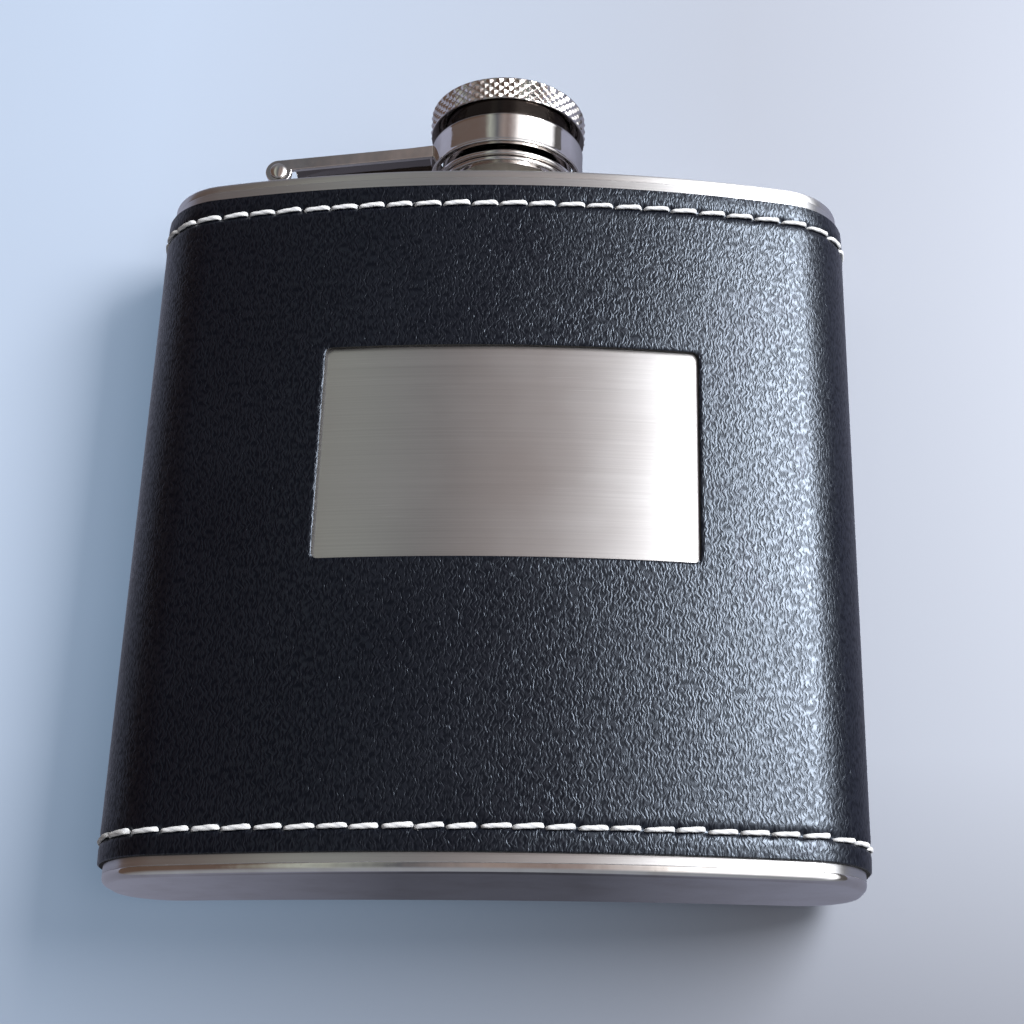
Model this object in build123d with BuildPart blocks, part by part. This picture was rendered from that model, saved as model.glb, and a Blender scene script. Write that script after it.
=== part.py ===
"""A 6 oz hip flask: a steel body in a stitched leather wrap, with a captive screw cap on a hinged arm.

The flask stands on its base. The origin is the middle of the base, +Z is up through the mouth,
the convex front faces -Y and the hinge is on the -X side. Lengths are in millimetres.
"""

import os
from math import atan2, degrees, sqrt

from build123d import *

# Body: a kidney section, bowed out at the front and hollowed at the back
body_width = 92.0
body_depth = 24.0
body_height = 92.5
front_radius = 170.0
front_corner = 10.0
back_corner = 7.0
back_hollow = 2.5
steel_wall = 0.6
plate_rim = 1.2
bottom_edge_radius = 0.9
top_edge_radius = 0.4

# Leather wrap, with a window on the front and a butt seam down the back
wrap_thickness = 0.7
wrap_bottom = 2.3
wrap_top_margin = 2.65
wrap_edge_radius = 0.25
seam_gap = 0.2
window_left = -21.6
window_right = 25.9
window_bottom = 37.8
window_top = 66.3
window_corner = 0.8

# Two rows of lock stitches, each lying in a pressed groove
stitch_pitch = 3.75
stitch_gap = 0.75
stitch_height = 0.75
stitch_thickness = 0.6
stitch_row_from_edge = 2.9
groove_depth = 0.25
groove_height = 1.0

# Neck: a welded spout with a flange on the top plate and a rolled thread
mouth_radius = 6.2
neck_wall = 0.5
neck_rise = 11.4
neck_root = 1.5
neck_flange_radius = 8.8
neck_flange_thickness = 0.6
neck_lip_radius = 0.2
thread_pitch = 1.5
thread_turns = 2.25
thread_ridge = 1.0
neck_thread_height = 0.6
thread_below_lip = 1.5

# Cap: knurled head, skirt with a rolled lower edge, threaded liner and gasket
swing_relief = 0.4
liner_thread_height = 0.5
liner_wall = 0.3
skirt_wall = 0.5
skirt_drop = 8.9
rolled_edge_width = 0.65
rolled_edge_height = 0.6
gasket_thickness = 0.6
gasket_gap = 0.1
head_radius = 10.9
head_height = 3.4
head_edge_radius = 0.35
liner_recess = 0.4

# Retaining ring, its washer, and the hinged arm
washer_play = 0.05
washer_width = 1.1
washer_thickness = 0.5
cap_lift = 1.0
lift_spare = 0.15
ring_slack = 0.8
ring_wall = 0.8
ring_height = 4.4
ring_edge_radius = 0.18
pin_reach = 31.5
pin_rise = 5.2
pin_radius = 0.8
pin_head_radius = 1.15
pin_head_thickness = 0.4
pin_play = 0.05
side_play = 0.15
head_play = 0.1
arm_width = 6.0
arm_wall = 0.7
arm_height = 1.75
knuckle_radius = 1.8
arm_end_below_ring_top = 0.3
gusset_length = 2.6
web_from_pin = 1.9
bracket_sheet = 0.8
bracket_ear_radius = 1.5
bracket_base_length = 5.0


def back_arc_radius():
    """Radius of the hollow back, from the ridges that the back corners make at full depth."""
    ridge_x = body_width / 2 - back_corner
    inner = back_corner - back_hollow
    return (ridge_x**2 - back_corner**2 + inner**2) / (2 * back_hollow)


def sagitta(radius, half_chord):
    return radius - sqrt(radius**2 - half_chord**2)


def section_face(grow=0.0):
    """The body's kidney outline, grown outward by grow (inward if negative)."""
    half_width = body_width / 2
    front_end = -body_depth / 2 + sagitta(front_radius, half_width)
    back_middle = body_depth / 2 - back_hollow
    back_end = back_middle + sagitta(back_arc_radius(), half_width)
    with BuildSketch() as outline:
        with BuildLine():
            front = ThreePointArc((-half_width, front_end), (0, -body_depth / 2), (half_width, front_end))
            right = Line(front @ 1, (half_width, back_end))
            back = ThreePointArc(right @ 1, (0, back_middle), (-half_width, back_end))
            Line(back @ 1, front @ 0)
        make_face()
        fillet(outline.vertices().group_by(Axis.Y)[0], front_corner)
        fillet(outline.vertices().group_by(Axis.Y)[-1], back_corner)
        if grow:
            offset(amount=grow, kind=Kind.ARC)
    return outline.sketch.face()


def band_sketch(inner_grow, outer_grow):
    """The ring between two offsets of the body's outline."""
    with BuildSketch() as band:
        add(section_face(outer_grow))
        add(section_face(inner_grow), mode=Mode.SUBTRACT)
    return band.sketch


outer_section = section_face()
inner_section = section_face(-steel_wall)

# ---------------------------------------------------------------- steel body
with BuildPart() as body_sleeve:
    with BuildSketch(Plane.XY.offset(plate_rim)):
        add(outer_section)
        add(inner_section, mode=Mode.SUBTRACT)
    extrude(amount=body_height - 2 * plate_rim)
body_sleeve.part.label = "body_sleeve"

with BuildPart() as bottom_plate:
    with BuildSketch():
        add(outer_section)
    extrude(amount=plate_rim)
    fillet(bottom_plate.faces().sort_by(Axis.Z)[0].edges(), bottom_edge_radius)
    with BuildSketch(Plane.XY.offset(steel_wall)):
        add(inner_section)
    extrude(amount=plate_rim, mode=Mode.SUBTRACT)
bottom_plate.part.label = "bottom_plate"

neck_radius = mouth_radius + neck_wall
plate_underside = body_height - steel_wall

with BuildPart() as top_plate:
    with BuildSketch(Plane.XY.offset(body_height - plate_rim)):
        add(outer_section)
    extrude(amount=plate_rim)
    fillet(top_plate.faces().sort_by(Axis.Z)[-1].edges(), top_edge_radius)
    with BuildSketch(Plane.XY.offset(body_height - plate_rim)):
        add(inner_section)
    extrude(amount=plate_rim - steel_wall, mode=Mode.SUBTRACT)
    with Locations((0, 0, body_height)):
        Hole(neck_radius)
top_plate.part.label = "top_plate"


def helical_ridge(base_radius, tip_radius, start_z):
    """One thread ridge: a trapezoid swept up a helix, its root sunk a little into its wall."""
    outward = 1 if tip_radius > base_radius else -1
    root_radius = base_radius - 0.1 * outward
    with BuildPart() as ridge:
        with BuildLine() as path:
            Helix(thread_pitch, thread_pitch * thread_turns, root_radius, center=(0, 0, start_z))
        with BuildSketch(Plane(origin=path.line @ 0, x_dir=(1, 0, 0), z_dir=path.line % 0)):
            with BuildLine():
                Polyline(
                    (0, -thread_ridge / 2),
                    (tip_radius - root_radius, -thread_ridge / 5),
                    (tip_radius - root_radius, thread_ridge / 5),
                    (0, thread_ridge / 2),
                    close=True,
                )
            make_face()
        sweep(is_frenet=True)
    return ridge.part


neck_top = body_height + neck_rise
neck_thread_radius = neck_radius + neck_thread_height
neck_thread_start = neck_top - thread_below_lip - thread_ridge / 2 - thread_pitch * thread_turns

with BuildPart() as neck:
    with BuildSketch(Plane.XZ):
        with BuildLine():
            Polyline(
                (mouth_radius, plate_underside - neck_root),
                (neck_radius, plate_underside - neck_root),
                (neck_radius, body_height),
                (neck_flange_radius, body_height),
                (neck_flange_radius, body_height + neck_flange_thickness),
                (neck_radius, body_height + neck_flange_thickness),
                (neck_radius, neck_top),
                (mouth_radius, neck_top),
                close=True,
            )
        make_face()
    revolve(axis=Axis.Z)
    fillet(neck.faces().sort_by(Axis.Z)[-1].edges(), neck_lip_radius)
    add(helical_ridge(neck_radius, neck_thread_radius, neck_thread_start))
neck.part.label = "neck"

# --------------------------------------------------------------- leather wrap
wrap_top = body_height - wrap_top_margin
groove_floor = wrap_thickness - groove_depth
stitch_rows = {
    "top_stitching": wrap_top - stitch_row_from_edge,
    "bottom_stitching": wrap_bottom + stitch_row_from_edge,
}

with BuildPart() as leather_wrap:
    with BuildSketch(Plane.XY.offset(wrap_bottom)):
        add(band_sketch(0, wrap_thickness))
    extrude(amount=wrap_top - wrap_bottom)
    end_faces = leather_wrap.faces().filter_by(Axis.Z)
    fillet([edge for face in end_faces for edge in face.outer_wire().edges()], wrap_edge_radius)
    for row_z in stitch_rows.values():
        with BuildSketch(Plane.XY.offset(row_z - groove_height / 2)):
            add(band_sketch(groove_floor, 2 * wrap_thickness))
        extrude(amount=groove_height, mode=Mode.SUBTRACT)
    with BuildSketch(Plane.XZ):
        with Locations(((window_left + window_right) / 2, (window_bottom + window_top) / 2)):
            RectangleRounded(window_right - window_left, window_top - window_bottom, window_corner)
    extrude(amount=body_depth, mode=Mode.SUBTRACT)
    with Locations((0, body_depth / 2, body_height / 2)):
        Box(seam_gap, body_depth / 2, body_height, mode=Mode.SUBTRACT)
leather_wrap.part.label = "leather_wrap"


def stitch_row(name, row_z):
    """A row of equal stitches round the wrap, standing on the floor of its groove."""
    outline = section_face(wrap_thickness).outer_wire()
    count = round(outline.length / stitch_pitch)
    gap_places = [outline.location_at((index + 0.5) / count) for index in range(count)]
    with BuildPart() as row:
        with BuildSketch(Plane.XY.offset(row_z - stitch_height / 2)):
            add(band_sketch(groove_floor, groove_floor + stitch_thickness))
        extrude(amount=stitch_height)
        for place in gap_places:
            along = place.z_axis.direction
            turn = degrees(atan2(along.Y, along.X))
            with Locations(Location((place.position.X, place.position.Y, row_z), (0, 0, turn))):
                Box(stitch_gap, 4 * stitch_thickness, 2 * stitch_height, mode=Mode.SUBTRACT)
    row.part.label = name
    return row.part


stitching = [stitch_row(name, row_z) for name, row_z in stitch_rows.items()]

# ------------------------------------------------------------------------ cap
liner_thread_radius = neck_thread_radius + swing_relief
liner_bore = liner_thread_radius + liner_thread_height
skirt_bore = liner_bore + liner_wall
skirt_radius = skirt_bore + skirt_wall
gasket_underside = neck_top + gasket_gap
head_underside = gasket_underside + gasket_thickness
skirt_bottom = head_underside - skirt_drop
rolled_edge_top = skirt_bottom + rolled_edge_height

with BuildPart() as cap_head:
    with BuildSketch(Plane.XY.offset(head_underside)):
        Circle(head_radius)
    extrude(amount=head_height)
    fillet(cap_head.edges().filter_by(GeomType.CIRCLE), head_edge_radius)
cap_head.part.label = "cap_head"

with BuildPart() as cap_skirt:
    with BuildSketch(Plane.XZ):
        with BuildLine():
            Polyline(
                (skirt_bore, skirt_bottom),
                (skirt_radius + rolled_edge_width, skirt_bottom),
                (skirt_radius + rolled_edge_width, rolled_edge_top),
                (skirt_radius, rolled_edge_top),
                (skirt_radius, head_underside),
                (skirt_bore, head_underside),
                close=True,
            )
        make_face()
    revolve(axis=Axis.Z)
    fillet(cap_skirt.faces().sort_by(Axis.Z)[0].outer_wire().edges(), rolled_edge_height / 2)
cap_skirt.part.label = "cap_skirt"

liner_bottom = skirt_bottom + liner_recess
liner_thread_start = neck_thread_start - thread_pitch / 2

with BuildPart() as cap_liner:
    with BuildSketch(Plane.XY.offset(liner_bottom)):
        Circle(skirt_bore)
        Circle(liner_bore, mode=Mode.SUBTRACT)
    extrude(amount=head_underside - liner_bottom)
    add(helical_ridge(liner_bore, liner_thread_radius, liner_thread_start))
cap_liner.part.label = "cap_liner"

with BuildPart() as cap_gasket:
    with BuildSketch(Plane.XY.offset(gasket_underside)):
        Circle(liner_bore)
    extrude(amount=gasket_thickness)
cap_gasket.part.label = "cap_gasket"

# ------------------------------------------------- retaining washer and ring
washer_bottom = rolled_edge_top + washer_play
washer_top = washer_bottom + washer_thickness

with BuildPart() as retaining_washer:
    with BuildSketch(Plane.XY.offset(washer_bottom)):
        Circle(skirt_radius + washer_play + washer_width)
        Circle(skirt_radius + washer_play, mode=Mode.SUBTRACT)
    extrude(amount=washer_thickness)
retaining_washer.part.label = "retaining_washer"

ring_bottom = washer_top + cap_lift + lift_spare
ring_top = ring_bottom + ring_height
ring_bore = skirt_radius + ring_slack
ring_radius = ring_bore + ring_wall

with BuildPart() as retainer_ring:
    with BuildSketch(Plane.XY.offset(ring_bottom)):
        Circle(ring_radius)
        Circle(ring_bore, mode=Mode.SUBTRACT)
    extrude(amount=ring_height)
    fillet(retainer_ring.edges().filter_by(GeomType.CIRCLE), ring_edge_radius)
retainer_ring.part.label = "retainer_ring"

# ------------------------------------------------------------------ hinged arm
pin_x = -pin_reach
pin_z = body_height + pin_rise
arm_root_x = -ring_bore
arm_root_top = ring_top - arm_end_below_ring_top
knuckle_top = pin_z + knuckle_radius
top_slope = (arm_root_top - knuckle_top) / (arm_root_x - pin_x)
gusset_x = -ring_radius - gusset_length
gusset_z = knuckle_top + top_slope * (gusset_x - pin_x)
wall_gap = arm_width / 2 - arm_wall
web_x = pin_x + web_from_pin
web_z = knuckle_top + top_slope * web_from_pin - arm_wall

with BuildPart() as retainer_arm:
    with BuildSketch(Plane.XZ):
        with Locations((pin_x, pin_z)):
            Circle(knuckle_radius)
        with BuildLine():
            Polyline(
                (pin_x, knuckle_top),
                (gusset_x, gusset_z),
                (arm_root_x, ring_top - ring_edge_radius),
                (arm_root_x, arm_root_top - arm_height),
                (pin_x, knuckle_top - arm_height),
                close=True,
            )
        make_face()
    extrude(amount=arm_width / 2, both=True)
    with BuildSketch(Plane.XZ):
        with BuildLine():
            Polyline(
                (web_x, knuckle_top + knuckle_radius),
                (web_x, web_z),
                (arm_root_x, arm_root_top - arm_wall),
                (arm_root_x, pin_z - 2 * knuckle_radius),
                (pin_x - 2 * knuckle_radius, pin_z - 2 * knuckle_radius),
                (pin_x - 2 * knuckle_radius, knuckle_top + knuckle_radius),
                close=True,
            )
        make_face()
    extrude(amount=wall_gap, both=True, mode=Mode.SUBTRACT)
    with BuildSketch(Plane.XZ):
        with Locations((pin_x, pin_z)):
            Circle(pin_radius + pin_play)
    extrude(amount=arm_width, both=True, mode=Mode.SUBTRACT)
    with BuildSketch(Plane.XY.offset(pin_z)):
        Circle(ring_radius)
    extrude(amount=2 * ring_height, mode=Mode.SUBTRACT)
retainer_arm.part.label = "retainer_arm"

ear_outside = wall_gap - side_play

with BuildPart() as hinge_bracket:
    with BuildSketch(Plane.XZ):
        with Locations((pin_x, pin_z)):
            Circle(bracket_ear_radius)
        with Locations((pin_x, (body_height + pin_z) / 2)):
            Rectangle(2 * bracket_ear_radius, pin_rise)
        with Locations((pin_x, body_height + bracket_sheet / 2)):
            Rectangle(bracket_base_length, bracket_sheet)
    extrude(amount=ear_outside, both=True)
    with BuildSketch(Plane.XY.offset(body_height + bracket_sheet)):
        with Locations((pin_x, 0)):
            Rectangle(2 * bracket_base_length, 2 * (ear_outside - bracket_sheet))
    extrude(amount=pin_rise + bracket_ear_radius, mode=Mode.SUBTRACT)
    with BuildSketch(Plane.XZ):
        with Locations((pin_x, pin_z)):
            Circle(pin_radius)
    extrude(amount=arm_width, both=True, mode=Mode.SUBTRACT)
hinge_bracket.part.label = "hinge_bracket"

pin_half = arm_width / 2 + head_play

with BuildPart() as hinge_pin:
    with BuildSketch(Plane.XZ):
        with Locations((pin_x, pin_z)):
            Circle(pin_radius)
    extrude(amount=pin_half, both=True)
    for side in (-1, 1):
        with BuildSketch(Plane.XZ.offset(side * (pin_half + pin_head_thickness / 2))):
            with Locations((pin_x, pin_z)):
                Circle(pin_head_radius)
        extrude(amount=pin_head_thickness / 2, both=True)
hinge_pin.part.label = "hinge_pin"

# ---------------------------------------------------------------------- files
os.makedirs("parts", exist_ok=True)
built = [
    body_sleeve,
    bottom_plate,
    top_plate,
    neck,
    leather_wrap,
    cap_head,
    cap_skirt,
    cap_liner,
    cap_gasket,
    retaining_washer,
    retainer_ring,
    retainer_arm,
    hinge_bracket,
    hinge_pin,
]
for solid in [builder.part for builder in built] + stitching:
    export_step(solid, f"parts/{solid.label}.step")
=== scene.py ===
"""Finishes and fine shapes for a 6 oz hip flask in a stitched leather wrap, with a captive screw cap.

The steel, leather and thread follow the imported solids. Lengths in the pieces are in metres, the
flask stands on its base at the origin, +Z is up through the mouth and the bowed front faces -Y.
"""

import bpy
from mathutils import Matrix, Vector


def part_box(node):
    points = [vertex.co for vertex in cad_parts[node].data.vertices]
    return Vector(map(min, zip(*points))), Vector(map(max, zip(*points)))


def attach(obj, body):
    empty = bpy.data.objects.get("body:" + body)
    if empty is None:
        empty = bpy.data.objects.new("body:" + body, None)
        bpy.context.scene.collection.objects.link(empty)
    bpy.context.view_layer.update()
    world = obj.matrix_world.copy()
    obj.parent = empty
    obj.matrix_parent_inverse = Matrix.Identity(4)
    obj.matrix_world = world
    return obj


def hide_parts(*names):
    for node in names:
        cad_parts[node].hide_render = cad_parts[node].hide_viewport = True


bl_info = {
    "name": "Hip flask looks",
    "version": (1, 0, 0),
    "blender": (4, 5, 0),
    "location": "3D View > Sidebar > Hip flask",
    "description": "Builds the visible pieces of a leather-wrapped hip flask and its studio stage",
    "category": "Object",
}

from math import asin, cos, pi, radians, sin, tau

import bmesh
import bpy
import numpy as np
from mathutils import Matrix, Vector

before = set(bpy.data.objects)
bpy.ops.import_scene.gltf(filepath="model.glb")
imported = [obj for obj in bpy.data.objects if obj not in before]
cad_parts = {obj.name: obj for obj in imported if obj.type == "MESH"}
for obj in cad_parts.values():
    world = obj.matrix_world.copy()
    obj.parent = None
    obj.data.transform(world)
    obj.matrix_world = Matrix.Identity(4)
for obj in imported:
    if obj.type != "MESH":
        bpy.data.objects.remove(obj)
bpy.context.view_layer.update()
MM = 0.001

body_low, body_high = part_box("body_sleeve")
base_low, base_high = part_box("bottom_plate")
lid_low, lid_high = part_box("top_plate")
wrap_low, wrap_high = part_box("leather_wrap")
neck_low, neck_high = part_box("neck")
head_low, head_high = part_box("cap_head")
skirt_low, skirt_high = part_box("cap_skirt")
liner_low, liner_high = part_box("cap_liner")
gasket_low, gasket_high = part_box("cap_gasket")
washer_low, washer_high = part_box("retaining_washer")
ring_low, ring_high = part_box("retainer_ring")
pin_low, pin_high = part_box("hinge_pin")
top_row_low, top_row_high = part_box("top_stitching")
bottom_row_low, bottom_row_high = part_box("bottom_stitching")


def length(name, text, mm, least=0.0):
    """A length property, held in metres, with its default given in millimetres."""
    return bpy.props.FloatProperty(
        name=name, description=text, default=mm * MM, min=least, precision=5, unit="LENGTH"
    )


def amount(name, text, default):
    """A plain number property."""
    return bpy.props.FloatProperty(name=name, description=text, default=default, precision=3)


def count(name, text, default):
    """A whole number property."""
    return bpy.props.IntProperty(name=name, description=text, default=default, min=1)


def colour(name, text, default):
    """A linear colour property."""
    return bpy.props.FloatVectorProperty(
        name=name, description=text, default=default, size=3, min=0.0, max=1.0, subtype="COLOR"
    )


class FlaskBodySizes(bpy.types.PropertyGroup):
    """The steel body's outline and walls."""

    front_radius: length("Front radius", "Radius of the bowed front", 170)
    front_corner: length("Front corner", "Radius of the two front corners", 10)
    back_corner: length("Back corner", "Radius of the two back corners", 7)
    back_hollow: length("Back hollow", "How far the back is hollowed", 2.5)
    wall: length("Wall", "Thickness of the steel", 0.6)
    base_edge: length("Base edge", "Rounding of the base plate's edge", 0.9)
    lid_edge: length("Shoulder edge", "Rounding of the top plate's edge", 0.4)
    seam_break: length("Seam break", "Rounding of the steel on each side of a welded seam", 0.07)
    base_wave: length("Base wave", "Depth of the hand-polished waves in the base plate", 0.035)
    stations: count("Stations", "Columns round the steel", 480)


class FlaskWrapSizes(bpy.types.PropertyGroup):
    """The leather wrap and its two rows of stitches."""

    thickness: length("Thickness", "Thickness of the leather", 0.7)
    edge: length("Edge rounding", "Rounding of the upper and lower cut edges", 0.25)
    window_left: length("Window left", "Left side of the window", -21.6, least=-1.0)
    window_right: length("Window right", "Right side of the window", 25.9)
    window_bottom: length("Window bottom", "Lower side of the window", 37.8)
    window_top: length("Window top", "Upper side of the window", 66.3)
    window_corner: length("Window corner", "Corner radius of the window", 0.8)
    window_edge: length("Window edge", "Rounding of the window's cut edge", 0.1)
    seam: length("Seam", "Gap of the butt seam down the back", 0.2)
    groove: length("Groove", "How deep the thread pulls the leather in", 0.24)
    hole: length("Needle hole", "Extra depth at a needle hole", 0.26)
    grain: length("Grain", "Height of the long grain", 0.012)
    pitch: length("Stitch pitch", "Distance from one stitch to the next", 3.75)
    thread_width: length("Thread width", "Width of the doubled thread", 0.62)
    thread_height: length("Thread height", "Thickness of the doubled thread", 0.48)
    columns: count("Columns", "Columns of the leather's grid", 560)


class FlaskCapSizes(bpy.types.PropertyGroup):
    """The neck, the cap and what holds the cap."""

    bore: length("Mouth radius", "Inside radius of the neck", 6.2)
    neck_wall: length("Neck wall", "Wall of the neck", 0.5)
    flange: length("Flange thickness", "Thickness of the neck's flange", 0.6)
    thread_pitch: length("Thread pitch", "Rise of the screw thread in one turn", 1.5)
    thread_turns: amount("Thread turns", "Turns of the screw thread", 2.25)
    thread_width: length("Thread root", "Width of a thread ridge at its root", 1.0)
    thread_height: length("Thread height", "Height of the neck's thread", 0.6)
    liner_thread: length("Liner thread", "Height of the liner's thread", 0.5)
    thread_below_lip: length("Thread below lip", "From the lip down to the thread's end", 1.5)
    liner_bore: length("Liner bore", "Inside radius of the liner", 8.2)
    skirt_bore: length("Skirt bore", "Inside radius of the skirt", 8.5)
    skirt_radius: length("Skirt radius", "Outside radius of the skirt", 9.0)
    rolled_edge: length("Rolled edge", "Height of the skirt's rolled lower edge", 0.6)
    head_edge: length("Head edge", "Rounding of the knurled head's edges", 0.35)
    diamonds: count("Diamonds", "Knurled diamonds round the head", 50)
    knurl_rise: length("Knurl rise", "Height over which a knurl groove moves on by one diamond", 1.2)
    knurl_depth: length("Knurl depth", "Depth of the knurl", 0.30)
    washer_bore: length("Washer bore", "Inside radius of the washer", 9.05)
    ring_bore: length("Ring bore", "Inside radius of the retaining ring", 9.8)
    ring_edge: length("Ring edge", "Rounding of the ring's edges", 0.18)
    ring_burr: length("Ring burr", "Bead left along the ring's lower edge", 0.07)
    pin_radius: length("Pin radius", "Radius of the hinge pin", 0.8)
    pin_head: length("Pin head", "Thickness of the pin's heads", 0.4)
    sheet_edge: length("Sheet edge", "Rounding of the arm's and bracket's edges", 0.13)


class FlaskFinishes(bpy.types.PropertyGroup):
    """Colours of the finishes."""

    satin_dark: colour("Satin steel, dark", "Dark strokes of the brushed steel", (0.60, 0.59, 0.585))
    satin_light: colour("Satin steel, light", "Light strokes of the brushed steel", (0.78, 0.77, 0.765))
    polished: colour("Polished steel", "Polished steel", (0.80, 0.77, 0.745))
    leather: colour("Leather", "Dyed leather", (0.0010, 0.0013, 0.0040))
    leather_low: colour("Leather, valleys", "Leather between the grain", (0.0006, 0.0008, 0.0025))
    thread: colour("Thread", "White sewing thread", (0.60, 0.596, 0.585))
    liner: colour("Liner", "Moulded liner", (0.80, 0.79, 0.75))
    gasket: colour("Gasket", "Rubber gasket", (0.028, 0.028, 0.030))


class FlaskStageSizes(bpy.types.PropertyGroup):
    """The camera, the table behind the flask, the floor and the lights."""

    focal: amount("Focal length", "Lens of the camera in millimetres on a 36 mm sensor", 59.70)
    shift: amount("Shift", "Sideways shift of the lens", -0.083)
    table_gap: length("Table gap", "From the flask's back to the table behind it", 0.25)
    table: colour("Table", "Pale table behind the flask", (0.262, 0.276, 0.314))
    backdrop: colour("Backdrop", "Pale studio background", (0.66, 0.70, 0.78))
    key: amount("Key light", "Power of the soft light on the right, in watts", 6.2)
    fill: amount("Fill light", "Power of the soft light at the back, in watts", 0.4)


def mesh_from(name, points, faces, uv, smooth=38.0, extra=None):
    """A mesh from an array of points and a list of face arrays, each row a face's corners. uv holds
    a pair for each point, and extra a name and a number for each point. Points that no face uses
    are left out, and a closed mesh that encloses a negative volume (the sum of each corner fan's
    triple products) has its faces turned round."""
    points = np.asarray(points, float).reshape(-1, 3)
    uv = np.asarray(uv, float).reshape(-1, 2)
    used = np.zeros(len(points), bool)
    for block in faces:
        used[block.ravel()] = True
    place = np.cumsum(used) - 1
    points, uv = points[used], uv[used]
    faces = [place[block] for block in faces]
    volume = 0.0
    for block in faces:
        for corner in range(1, block.shape[1] - 1):
            a, b, c = (points[block[:, k]] for k in (0, corner, corner + 1))
            volume += np.einsum("ij,ij->", a, np.cross(b, c))
    if volume < 0:
        faces = [block[:, ::-1] for block in faces]
    mesh = bpy.data.meshes.new(name)
    mesh.from_pydata(points.tolist(), [], [row for block in faces for row in block.tolist()])
    layer = mesh.uv_layers.new(name="flat")
    corners = np.concatenate([block.ravel() for block in faces])
    layer.data.foreach_set("uv", uv[corners].ravel())
    mesh.validate()
    mesh.shade_smooth()
    mesh.set_sharp_from_angle(angle=radians(smooth))
    if extra is not None:
        layer = mesh.attributes.new(extra[0], "FLOAT", "POINT")
        layer.data.foreach_set("value", extra[1][used])
    return mesh


def piece_from(mesh, body, node, material, name=None):
    """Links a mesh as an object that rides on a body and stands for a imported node."""
    piece = bpy.data.objects.new(name or mesh.name, mesh)
    bpy.context.scene.collection.objects.link(piece)
    mesh.materials.append(finish(material))
    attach(piece, body)
    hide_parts(node)
    return piece


def cells(index):
    """The four corners of every cell in a grid of point numbers."""
    return np.stack([index[:-1, :-1], index[1:, :-1], index[1:, 1:], index[:-1, 1:]], axis=-1)


def closed_grid(name, points, uv_u, uv_v, poles=False, smooth=38.0):
    """points[i, j] goes round the piece with i and along its profile with j. i closes on itself, and
    so does j, unless poles is set: then the first and last j are single points on the axis, closed
    with fans of triangles. Each column's texture place is (uv_u[i], uv_v[j]); the column and row
    that close the grid are repeated in the map, so that the pattern isn't squeezed there."""
    full = np.concatenate([points, points[:1]], axis=0)
    if not poles:
        full = np.concatenate([full, full[:, :1]], axis=1)
    uv = np.stack(np.broadcast_arrays(uv_u[:, None], uv_v[None, :]), axis=-1)
    quads = cells(np.arange(full[..., 0].size).reshape(full.shape[:2]))
    faces = [quads.reshape(-1, 4)]
    if poles:
        faces = [quads[:, 1:-1].reshape(-1, 4), quads[:, 0, [0, 2, 3]], quads[:, -1, [0, 1, 3]]]
    mesh = mesh_from(name, full, faces, uv, smooth)
    work = bmesh.new()
    work.from_mesh(mesh)
    bmesh.ops.remove_doubles(work, verts=work.verts, dist=1e-8)
    work.to_mesh(mesh)
    work.free()
    return mesh


def along(profile):
    """Running length along an open polyline, for a texture map in tenths of a metre."""
    steps = np.linalg.norm(np.diff(profile, axis=0), axis=1)
    return np.concatenate([[0.0], np.cumsum(steps)]) * 10


def rounded(corners, radii, steps=5):
    """A closed polygon in (radius, height) with each corner replaced by an arc of its radius: the arc
    touches both sides, so its centre lies on the corner's bisector, and its points turn evenly from
    one side's normal to the other's."""
    corners = np.asarray(corners, float)
    out = []
    for k in range(len(corners)):
        here, before, after = corners[k], corners[k - 1], corners[(k + 1) % len(corners)]
        a = (before - here) / np.linalg.norm(before - here)
        b = (after - here) / np.linalg.norm(after - here)
        half = np.arccos(np.clip(a @ b, -1, 1)) / 2
        if radii[k] <= 0:
            out.append(here[None])
            continue
        reach = radii[k] / np.tan(half)
        centre = here + (a + b) / np.linalg.norm(a + b) * radii[k] / np.sin(half)
        start, end = here + a * reach - centre, here + b * reach - centre
        t = np.linspace(0, 1, steps)[:, None]
        total = np.arccos(np.clip(start @ end / radii[k] ** 2, -1, 1))
        arc = (np.sin((1 - t) * total) * start + np.sin(t * total) * end) / np.sin(total)
        out.append(centre + arc)
    return np.concatenate(out)


def refine(profile, step):
    """A closed polygon with each side longer than step divided into equal parts."""
    parts = []
    for start, end in zip(profile, np.roll(profile, -1, axis=0)):
        n = max(1, int(np.ceil(np.linalg.norm(end - start) / step)))
        parts.append(start + (end - start) * (np.arange(n) / n)[:, None])
    return np.concatenate(parts)


def band(inner, outer, low, high, radii, steps=5):
    """A round wall's section: a rectangle whose corners, from the inner lower one outward, are rounded."""
    return rounded([(inner, low), (outer, low), (outer, high), (inner, high)], radii, steps)


def level(start, end, height, n):
    """n points of a profile at one height, spread evenly from one radius to another."""
    return np.stack([np.linspace(start, end, n), np.full(n, height)], axis=-1)


def corner_arc(reach, height, radius, n, upper=False):
    """n points of the quarter circle that rounds the outer corner at (reach, height): from its flat
    underside out to its side, or, at an upper corner, from its side in to its flat top."""
    turn = np.linspace(0, pi / 2, n)
    out, up = (np.cos(turn), np.sin(turn) - 1) if upper else (np.sin(turn), 1 - np.cos(turn))
    return np.stack([reach - radius + radius * out, height + radius * up], axis=-1)


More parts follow.
